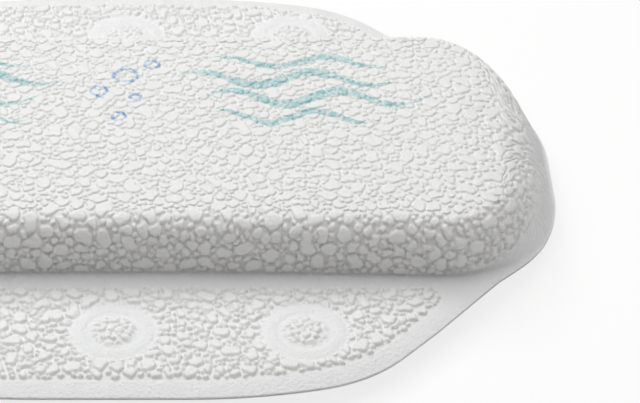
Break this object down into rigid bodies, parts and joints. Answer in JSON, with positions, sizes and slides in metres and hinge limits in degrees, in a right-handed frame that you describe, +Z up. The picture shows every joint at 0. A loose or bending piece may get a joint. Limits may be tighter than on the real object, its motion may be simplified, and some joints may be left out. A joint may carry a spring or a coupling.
{
  "type": "bath pillow",
  "caption": "Padded bath pillow: pebbled cushion welded round a foam core, with a folding flange in front and behind, each held down by swivelling suction cups.",
  "frame": {"origin": "middle of the sheet's outline, on the plane of the suction cup rims", "axes": "+X along the pillow's length, +Y from the bather's side to the wall side, +Z up out of the cushion's crown"},
  "size_m": [0.3316, 0.2576, 0.036],
  "materials": {
    "pebbled_sheet": "matte white foamed vinyl sheet, pebble embossed, smooth at its welds",
    "back_film": "smooth white vinyl film",
    "foam": "open-cell foam, cream",
    "cup_vinyl": "soft milky vinyl, glossy"
  },
  "bodies": {
    "cushion": {"cushion_cover": "pebbled_sheet", "foam_core": "foam", "back_film": "back_film"},
    "front_flap": {"front_flange": "pebbled_sheet", "front_flange_film": "back_film"},
    "rear_flap": {"rear_flange": "pebbled_sheet", "rear_flange_film": "back_film"},
    "front_left_cup": {"cup_front_left": "cup_vinyl"},
    "front_centre_cup": {"cup_front_centre": "cup_vinyl"},
    "front_right_cup": {"cup_front_right": "cup_vinyl"},
    "rear_left_cup": {"cup_rear_left": "cup_vinyl"},
    "rear_centre_cup": {"cup_rear_centre": "cup_vinyl"},
    "rear_right_cup": {"cup_rear_right": "cup_vinyl"}
  },
  "joints": [
    {"name": "front_fold", "type": "hinge", "parent": "cushion", "child": "front_flap", "pos_m": [0, -0.0675, 0.00995], "axis": [-1, 0, 0], "range_deg": [-45, 75], "stiffness_Nm_per_rad": 0.06},
    {"name": "rear_fold", "type": "hinge", "parent": "cushion", "child": "rear_flap", "pos_m": [0, 0.0675, 0.00995], "axis": [1, 0, 0], "range_deg": [-45, 75], "stiffness_Nm_per_rad": 0.06},
    {"name": "front_left_swivel", "type": "hinge", "parent": "front_flap", "child": "front_left_cup", "pos_m": [-0.068, -0.09575, 0], "axis": [0, 0, 1], "continuous": true},
    {"name": "front_centre_swivel", "type": "hinge", "parent": "front_flap", "child": "front_centre_cup", "pos_m": [0, -0.09575, 0], "axis": [0, 0, 1], "continuous": true},
    {"name": "front_right_swivel", "type": "hinge", "parent": "front_flap", "child": "front_right_cup", "pos_m": [0.068, -0.09575, 0], "axis": [0, 0, 1], "continuous": true},
    {"name": "rear_left_swivel", "type": "hinge", "parent": "rear_flap", "child": "rear_left_cup", "pos_m": [-0.068, 0.09575, 0], "axis": [0, 0, 1], "continuous": true},
    {"name": "rear_centre_swivel", "type": "hinge", "parent": "rear_flap", "child": "rear_centre_cup", "pos_m": [0, 0.09575, 0], "axis": [0, 0, 1], "continuous": true},
    {"name": "rear_right_swivel", "type": "hinge", "parent": "rear_flap", "child": "rear_right_cup", "pos_m": [0.068, 0.09575, 0], "axis": [0, 0, 1], "continuous": true}
  ]
}
